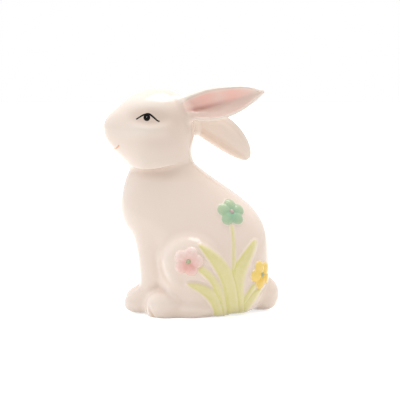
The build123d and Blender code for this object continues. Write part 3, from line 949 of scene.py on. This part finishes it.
# %% Member pieces
skin_values = {"pooling_and_painted_shading": pooling_and_painted_shading, "blush": blush, "ear_painted_shade": ear_painted_shade, "bare": bare}
for index, name in enumerate(member_names):
    used, patch = np.unique(skin_quads[quad_owner == index], return_inverse=True)
    patch = patch.reshape(-1, 4)
    middles, fans = inside_fans(patch, skin[used], normals[used])
    spare = len(middles)
    values = {label: np.concatenate([numbers[used], np.zeros(spare)])
              for label, numbers in skin_values.items()}
    directions = np.concatenate([normals[used], np.zeros((spare, 3))])
    piece = new_piece("glazed_" + name, np.concatenate([skin[used], middles]), patch.tolist() + fans,
                      cream_glaze, values, directions)
    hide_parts(name)
    print(piece.name, len(used), "points,", spare, "seams")

# %% [markdown]
# ## Flower sprigs
# A sprig is a pad of clay pressed in a small mould and stuck on the leather-hard flank, then painted
# under the glaze, which softens every edge and fills the corner where sprig meets flank. Hard plates laid on
# the skin would show their edges, so all sprigs share one finer grid of distances with the flank.

# %% Distance fields of the sprigs
SPRIG_VOXEL = 0.25
SPRIG_MARGIN = 2.6

sprig_names = sorted(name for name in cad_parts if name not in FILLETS)
flower_names = [name for name in sprig_names if name.endswith(("petals", "centre"))]
leaf_names = [name for name in sprig_names if name not in flower_names]
sprig_boxes = np.array([box_of(name) for name in sprig_names])
relief_corner = np.floor((sprig_boxes[:, 0].min(axis=0) - SPRIG_MARGIN) / SPRIG_VOXEL).astype(int) - 1
relief_beyond = np.ceil((sprig_boxes[:, 1].max(axis=0) + SPRIG_MARGIN) / SPRIG_VOXEL).astype(int) + 3
relief_axes = [np.arange(low, high) * SPRIG_VOXEL for low, high in zip(relief_corner, relief_beyond)]
cells = np.stack(np.meshgrid(*relief_axes, indexing="ij"), axis=-1)
relief_shape = cells.shape[:3]
ground = sampled(clay_field, block_corner, VOXEL, cells.reshape(-1, 3))
ground = ground.reshape(relief_shape).astype(np.float32)
sprig_fields = {}
for name in sprig_names:
    field, corner = distance_field(name, SPRIG_VOXEL, SPRIG_MARGIN)
    whole = np.full(relief_shape, SPRIG_MARGIN, np.float32)
    start = corner - relief_corner
    whole[tuple(slice(low, low + length) for low, length in zip(start, field.shape))] = field
    sprig_fields[name] = whole
print("relief:", relief_shape, "voxels for", len(sprig_names), "sprigs")

# %% [markdown]
# ## Softening the relief
# Leaves and stems are the flattest sprigs, so each is a height over the flank: a soft map of where it lies,
# with a shallow groove where two meet, fading out at the foot. Flowers keep more of their form, so they stay
# solids, only softened into the flank. Some leaves were pressed a little wider than they were cut.

# %% Leaves as a height over the flank, flowers as solids softened into it
FLOWER_SOFTNESS = 0.3
LEAF_SOFTNESS = 0.85
LEAF_RISE = 1.2
LEAF_GROOVE = 0.35
LEAF_FOOT_FADE = (-0.5, 4.0)
# how far the clay of a leaf or stem was pressed out beyond its cut edge
LEAF_SPREAD = {"right_leaf": 1.0, "pink_stem": 0.8, "yellow_stem": 0.7, "small_leaf": 0.9}

leaf_rounds = round(2 * (LEAF_SOFTNESS / SPRIG_VOXEL) ** 2)
leaf_masks = {name: (sprig_fields[name] < LEAF_SPREAD.get(name, 0)).any(axis=1).astype(np.float32)
              for name in leaf_names}
leaf_cover = {name: softened(mask, leaf_rounds) for name, mask in leaf_masks.items()}
all_cover = softened(np.max(list(leaf_masks.values()), axis=0), leaf_rounds)
best_cover = np.max(list(leaf_cover.values()), axis=0)
leaf_height = LEAF_RISE * ((1 - LEAF_GROOVE) * all_cover + LEAF_GROOVE * best_cover)
leaf_height *= smoothstep(*LEAF_FOOT_FADE, relief_axes[2])
flowers = ground.copy()
for name in flower_names:
    flowers = np.minimum(flowers, sprig_fields[name])
flower_relief = sponged(flowers, relief_corner, SPRIG_VOXEL, FLOWER_SOFTNESS)
print("leaves:", len(leaf_names), "up to", leaf_height.max().round(2), "mm; flowers:", len(flower_names) // 2)

# %% [markdown]
# ## Sharing out the relief
# Each sprig takes its own share of the relief, and the shares overlap a hair so that no gap opens between
# them. A sprig stands just proud of the flank in its middle and dips just under it at its edge, so that the
# glaze seems to run over both. A boolean cut would give the same shares, with ragged edges.

# %% Share of one sprig
SPRIG_SPREAD = 1.5
SPRIG_OVERLAP = 0.1
SPRIG_PROUD = 0.04
SPRIG_ROOT = 0.8
SPRIG_RELAX_ROUNDS = 4
# how steeply a leaf dips at its edge, and the cover at which it ends
LEAF_EDGE_RISE = 8.0
LEAF_EDGE = 0.04
# a cover turned into about as many millimetres, so that it meshes as a distance does
COVER_LENGTH = 2.0


def others(name, fields, pick):
    """The strongest of a sprig's neighbours at each place."""
    return pick([fields[other] for other in fields if other != name], axis=0)


def sprig_mesh(name):
    """One sprig's share of the relief: its points and quads."""
    own = sprig_fields[name]
    if name in leaf_names:
        proud = SPRIG_PROUD * np.clip(LEAF_EDGE_RISE * all_cover - 1, -1, 1)
        top = ground - (leaf_height + proud)[:, None, :]
        nearer = others(name, leaf_cover, np.max) - leaf_cover[name] - SPRIG_OVERLAP
        edge = np.maximum(LEAF_EDGE - all_cover, nearer)
        share = np.maximum(COVER_LENGTH * edge[:, None, :], -ground - SPRIG_ROOT)
        share = np.maximum(share, cells[..., 1] - box_of(name)[1, 1] - SPRIG_MARGIN)
    else:
        top = flower_relief - SPRIG_PROUD * np.clip(1 - 2 * own / SPRIG_SPREAD, -1, 1)
        rest = others(name, {each: sprig_fields[each] for each in flower_names}, np.min)
        share = np.maximum(own - SPRIG_SPREAD, (own - rest) / 2 - SPRIG_OVERLAP)
    field = np.maximum(np.maximum(top, share), -cells[..., 2]).astype(np.float32)
    points, quads = meshed(field, relief_corner, SPRIG_VOXEL)
    points = relaxed(points, quads, SPRIG_RELAX_ROUNDS)
    points[:, 2] = np.maximum(points[:, 2], 0)
    return points, quads


print("sprigs overlap by", SPRIG_OVERLAP, "and stand", SPRIG_PROUD, "mm proud")

# %% [markdown]
# ## Brushwork
# The brush covers the flat of a petal and misses its edge, and a second, deeper touch lies low on each
# flower. Each leaf is painted paler along its side towards the softbox, as a painted highlight, and deeper
# along the other, as painted shade. A painted image would need unwrapping first. Like the ears' tint,
# both follow the form, so they are values at the points.

# %% Cover and tone of the brush
LEAF_PAINTED = (0.15, 0.85)
PETAL_PAINTED = (0.1, 0.8)
# the side towards the softbox, where each leaf is painted paler as a painted highlight
PAINTED_LIT_SIDE = np.array((1.0, 0.0, 0.0))
TONE_RUN = np.array((0.0, 0.0, -2.4))
TONE_REACH = 6.5


def flat_sample(values, points):
    """Values of a flat map of the flank, at points in millimetres."""
    corner = np.array((relief_corner[0], 0, relief_corner[2]))
    return sampled(np.repeat(values[:, None, :], 2, axis=1), corner, SPRIG_VOXEL, points * (1, 0, 1))


def brushwork(name, points):
    """How well the colour covers each point, and how deep its tone is."""
    if name in leaf_names:
        cover = smoothstep(*LEAF_PAINTED, flat_sample(all_cover, points))
        # painted light: paler towards that side, deeper as painted shade away from it
        before, after = (flat_sample(leaf_cover[name], points + step) for step in (-PAINTED_LIT_SIDE, PAINTED_LIT_SIDE))
        return cover, np.clip(0.5 + after - before, 0, 1)
    cover = smoothstep(*PETAL_PAINTED, sampled(clay_field, block_corner, VOXEL, points))
    middle = box_of(name.split("_")[0] + "_flower_centre").mean(axis=0)
    return cover, bell(np.linalg.norm(points - middle - TONE_RUN, axis=1) / TONE_REACH)


print("the deeper tone reaches", TONE_REACH, "mm round a flower's middle")

# %% [markdown]
# ## Underglaze colours
# The sprigs are brushed with thin ceramic colours before the clear glaze goes on. The colour thins to cream
# where the brush didn't reach, and the brush leaves soft streaks. Each colour could have its own nodes, but
# they are all the same finish, so one recipe makes them from a full tone and a deeper one.

# %% Underglaze recipe
STREAK_SIZE = 2.2
STREAK_HEIGHT = 0.02
STREAK_WANDER = 0.8
UNDERGLAZE_ROUGHNESS = (0.08, 0.14)


def underglaze(name, full, deep):
    """A brushed ceramic colour under gloss: two tones, thinning out to the cream of the body."""
    material, tree = new_material(name)
    place = add_node(tree, "TexCoord", {}).outputs["Object"]
    cover, depth = (add_node(tree, "Attribute", {}, attribute_name=label).outputs["Fac"]
                    for label in ("cover", "tone"))
    streaks = add_node(tree, "TexNoise", {"Vector": place, "Scale": 1 / (STREAK_SIZE * MM), "Detail": 3.0})
    wander = add_node(tree, "Math", {0: streaks.outputs["Fac"], 1: STREAK_WANDER, 2: -STREAK_WANDER / 2},
                      operation="MULTIPLY_ADD")
    strength = add_node(tree, "Math", {0: depth, 1: wander.outputs[0]}, operation="ADD", use_clamp=True)
    tone = add_node(tree, "Mix", {0: strength.outputs[0], 6: linear(full), 7: linear(deep)}, data_type="RGBA")
    painted = add_node(tree, "Mix", {0: cover, 6: linear(BODY_CREAM), 7: tone.outputs[2]}, data_type="RGBA")
    smooth, rough = UNDERGLAZE_ROUGHNESS
    gloss = add_node(tree, "MapRange", {"Value": streaks.outputs["Fac"], "To Min": smooth, "To Max": rough})
    surface = add_node(tree, "Bump", {"Height": streaks.outputs["Fac"], "Distance": STREAK_HEIGHT * MM,
                                      "Strength": 1.0})
    glass = add_node(tree, "BsdfPrincipled", {"Base Color": painted.outputs[2], "Roughness": gloss.outputs[0],
                                              "Normal": surface.outputs[0], "IOR": GLASS_IOR})
    add_node(tree, "OutputMaterial", {"Surface": glass.outputs[0]})
    return material


UNDERGLAZES = {
    # a cool green that runs paler where it is thin, the coolest colour on the figure
    "teal_colour": underglaze("sea_green_underglaze", "#c2d3ac", "#98c4a2"),
    # nearly the cream of the body at its edge, so the flower looks blushed rather than painted
    "pink_colour": underglaze("rose_pink_underglaze", "#fde8de", "#f1b4a9"),
    # the brightest of the colours, egg yolk under gloss
    "yellow_colour": underglaze("warm_yellow_underglaze", "#ffe184", "#fcd052"),
    # a pale yellow green, so thin that leaves read as tinted clay
    "leaf_green_colour": underglaze("leaf_green_underglaze", "#f3e8b8", "#e4dc92"),
    # a greyed violet that sets the green flower's middle back
    "lavender_colour": underglaze("grey_lavender_underglaze", "#d8c6c0", "#c6b0ae"),
}
# a dull green for the other two middles, darker than the leaves so that they show on pink and yellow
sage = underglaze("pale_sage_underglaze", "#c4c8a6", "#b2be9a")
print("underglazes:", len(UNDERGLAZES) + 1)

# %% Sprig pieces
BEAD_SLOTS = {"teal": "lavender_colour", "pink": "leaf_green_colour", "yellow": "leaf_green_colour"}


def sprig_slot(name):
    """The colour that a sprig is painted in."""
    first, last = name.split("_")[0], name.split("_")[-1]
    if last == "centre":
        return BEAD_SLOTS[first]
    return first + "_colour" if last == "petals" else "leaf_green_colour"


for name in sprig_names:
    points, quads = sprig_mesh(name)
    cover, tone = brushwork(name, points)
    points = swollen(points)
    sage_bead = name.endswith("centre") and sprig_slot(name) == "leaf_green_colour"
    colour = sage if sage_bead else UNDERGLAZES[sprig_slot(name)]
    piece = new_piece("sprig_" + name, points, quads.tolist(), colour, {"cover": cover, "tone": tone},
                      point_normals(points, quads))
    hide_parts(name)
    print(piece.name, len(points), "points, covered", round(100 * cover.mean()), "per cent")

# %% [markdown]
# ## The painted face
# Eyes and mouth are single brush strokes of ceramic enamel, and enamel stands a little proud of the glaze.
# A stroke is a row of small arched sections along a line, each laid on the skin by a ray. The same
# sections, set in rings, make the domed pupil. A painted image would be flat and would catch no light.

# %% Points on the skin and pieces through rings
skin_tree = BVHTree.FromPolygons(skin.tolist(), skin_quads.tolist())


def laid_on(rays):
    """The skin's points and directions where rays from far away meet it."""
    hits = [skin_tree.ray_cast(Vector(start), Vector(direction)) for start, direction in rays]
    return np.array([hit[0] for hit in hits]), np.array([hit[1] for hit in hits])


def lofted(name, rings, material):
    """A closed piece through rings of points, with a fan on each end."""
    count, sides = len(rings), len(rings[0])
    points = np.concatenate([np.concatenate(rings), [np.mean(rings[0], axis=0), np.mean(rings[-1], axis=0)]])
    faces = []
    for ring in range(count - 1):
        for side in range(sides):
            after = (side + 1) % sides
            faces.append((ring * sides + side, ring * sides + after,
                          (ring + 1) * sides + after, (ring + 1) * sides + side))
    last = (count - 1) * sides
    for side in range(sides):
        after = (side + 1) % sides
        faces.append((after, side, count * sides))
        faces.append((last + side, last + after, count * sides + 1))
    piece = new_piece(name, points, faces, material)
    return piece


print("rays meet the skin at", len(skin_quads), "quads")

# %% Lines, strokes and dots
ENAMEL_ROOT = 0.4
ARCH_POINTS = 9
DOT_SIDES = 40
# the rings of a dot, as shares of its radius
DOT_RINGS = (0.1, 0.35, 0.6, 0.8, 0.92, 1.0)


def smooth_line(corners, count):
    """A soft curve through a few given points."""
    corners = np.array(corners, float)
    padded = np.concatenate([[2 * corners[0] - corners[1]], corners, [2 * corners[-1] - corners[-2]]])
    places = np.linspace(0, len(corners) - 1 - 1e-6, count)
    cell = places.astype(int)
    share = (places - cell)[:, None]
    before, start, end, after = (padded[cell + step] for step in range(4))
    return start + 0.5 * share * (end - before + share * (2 * before - 5 * start + 4 * end - after
                                  + share * (3 * (start - end) + after - before)))


def enamel_stroke(name, line, half_widths, lift, to_ray, material):
    """A raised brush stroke along a line on the skin."""
    run = np.gradient(line, axis=0)
    run /= np.linalg.norm(run, axis=1, keepdims=True)
    square = np.stack([-run[:, 1], run[:, 0]], axis=1)
    arch = np.cos(np.linspace(np.pi, 0, ARCH_POINTS))
    rings = []
    for place, side, half_width in zip(line, square, half_widths):
        on_skin, out = laid_on([to_ray(place + side * half_width * share) for share in arch])
        top = on_skin + out * (lift * np.sqrt(np.maximum(1 - arch ** 2, 0)))[:, None]
        rings.append(np.concatenate([top, (on_skin - out * ENAMEL_ROOT)[::-1]]))
    return lofted(name, rings, material)


def enamel_dot(name, middle, radius, lift, to_ray, material):
    """A domed dot of enamel on the skin."""
    turn = np.linspace(0, 2 * np.pi, DOT_SIDES, endpoint=False)
    circle = np.stack([np.cos(turn), np.sin(turn)], axis=1)
    rings = []
    for share in DOT_RINGS:
        on_skin, out = laid_on([to_ray(np.array(middle) + spoke * radius * share) for spoke in circle])
        rings.append(on_skin + out * lift * np.sqrt(1 - share ** 2))
    rings.append(on_skin - out * ENAMEL_ROOT)
    return lofted(name, rings, material)


print("brush ready: strokes of", ARCH_POINTS, "points across, dots of", DOT_SIDES, "sides")

# %% [markdown]
# ## Enamels
# The eye is black enamel, opaque and glossy, with a small white dot painted as a highlight. The mouth is one
# touch of thin coral, so pale that it is nearly the glaze. Each is a gloss over a plain colour, a little
# uneven where the brush was lifted, so one recipe does for all three.

# %% Enamel materials
ENAMEL_WANDER = 0.8
# the smoothest and roughest places, as shares of an enamel's roughness
ENAMEL_GLOSS = (0.8, 1.3)


def enamel(name, full, thin, roughness, shine=0.5):
    """A brushed enamel whose tone wanders a little along the stroke."""
    material, tree = new_material(name)
    place = add_node(tree, "TexCoord", {}).outputs["Object"]
    wander = add_node(tree, "TexNoise", {"Vector": place, "Scale": 1 / (ENAMEL_WANDER * MM), "Detail": 2.0})
    tone = add_node(tree, "Mix", {0: wander.outputs["Fac"], 6: linear(full), 7: linear(thin)},
                    data_type="RGBA")
    smoothest, roughest = (roughness * share for share in ENAMEL_GLOSS)
    gloss = add_node(tree, "MapRange", {"Value": wander.outputs["Fac"], "To Min": smoothest,
                                        "To Max": roughest})
    glass = add_node(tree, "BsdfPrincipled", {"Base Color": tone.outputs[2], "Roughness": gloss.outputs[0],
                                              "IOR": GLASS_IOR, "Specular IOR Level": shine})
    add_node(tree, "OutputMaterial", {"Surface": glass.outputs[0]})
    return material


# opaque warm black with only a low sheen, so that the eye stays the darkest thing on the figure
black_enamel = enamel("black_enamel", "#080706", "#120e0c", 0.18, 0.12)
# a painted highlight: an off-white that reads as a spark against the black
glint_highlight_enamel = enamel("glint_highlight_enamel", "#e9e7e4", "#dddad6", 0.15)
# a light orange pink that only just leaves the cream
coral_enamel = enamel("coral_enamel", "#f0b795", "#eba988", 0.15)
print("enamels: black, white, coral")

# %% [markdown]
# ## Eyes and mouth
# A fine brush draws each eye in two goes, an arched lash line and a round pupil under it, and a dot of white
# is painted on the pupil as a highlight. The mouth goes round the muzzle from its middle. The eyes are laid
# on by rays square to the cheek, as the painter looks at it, and the mouth by rays that turn with the muzzle,
# so it doesn't stretch.

# %% Draw the face
PUPIL_RADIUS = 2.1
PUPIL_LIFT = 0.3
GLINT_RADIUS = 0.3
GLINT_LIFT = 0.42
GLINT_PLACE = np.array((0.0, 0.4))
# the lash line, from the inner corner to the outer, from the middle of the pupil
LASH_LINE = ((-6.6, -1.1), (-4.2, 0.4), (-2.1, 1.6), (-0.2, 2.1), (1.4, 2.1), (2.8, 1.3), (4.7, -0.3),
             (6.4, -1.8), (7.8, -2.35))
LASH_HALF_WIDTH = 0.52
LASH_LIFT = 0.18
LASH_STEPS = 60
# the share of the width at both ends, and what the middle has more
LASH_TAPER = (0.75, 0.45)
# the mouth, as millimetres round the muzzle from its middle, and height
MOUTH_LINE = ((0.0, 102.6), (4.0, 102.4), (7.5, 102.8), (10.3, 103.8), (12.2, 105.2))
MOUTH_HALF_WIDTH = 0.5
MOUTH_LIFT = 0.08
MOUTH_STEPS = 30
# the share of the width in the middle of the mouth and at its end
MOUTH_TAPER = (0.6, 1.0)
MUZZLE_AXIS = -42.0
MUZZLE_RADIUS = 13.0
FAR = 90.0

for word, side in (("left", -1), ("right", 1)):
    def cheek(place, side=side):
        """A ray square to the cheek, at a place along and up."""
        return (place[0], side * FAR, place[1]), (0, -side, 0)

    def muzzle(place, side=side):
        """A ray towards the muzzle's axis, at a place round and up."""
        turn = place[0] / MUZZLE_RADIUS
        out = np.array((-np.cos(turn), side * np.sin(turn), 0))
        return (MUZZLE_AXIS, 0, place[1]) + FAR * out, -out

    lash = smooth_line(np.array(LASH_LINE) + EYE, LASH_STEPS)
    swell = np.sin(np.linspace(0, np.pi, LASH_STEPS)) ** 2
    lash_widths = LASH_HALF_WIDTH * (LASH_TAPER[0] + LASH_TAPER[1] * swell)
    enamel_stroke(word + "_lash_line", lash, lash_widths, LASH_LIFT, cheek, black_enamel)
    enamel_dot(word + "_pupil", EYE, PUPIL_RADIUS, PUPIL_LIFT, cheek, black_enamel)
    # a painted highlight: a white dot on the pupil
    enamel_dot(word + "_glint", EYE + GLINT_PLACE, GLINT_RADIUS, GLINT_LIFT, cheek, glint_highlight_enamel)
    mouth = smooth_line(MOUTH_LINE, MOUTH_STEPS)
    mouth_widths = MOUTH_HALF_WIDTH * np.linspace(*MOUTH_TAPER, MOUTH_STEPS)
    enamel_stroke(word + "_mouth", mouth, mouth_widths, MOUTH_LIFT, muzzle, coral_enamel)
    print(word, "eye at", EYE.round(1))

# %% [markdown]
# ## The visual box
# The glazed figure should be as large as its solids, and no larger. So the box round the visual figure is
# measured and printed; the frame's box was printed at the start.

# %% Measure the visual box
low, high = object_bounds()
print("visual box:", [round(side / MM, 1) for side in high - low], "mm")
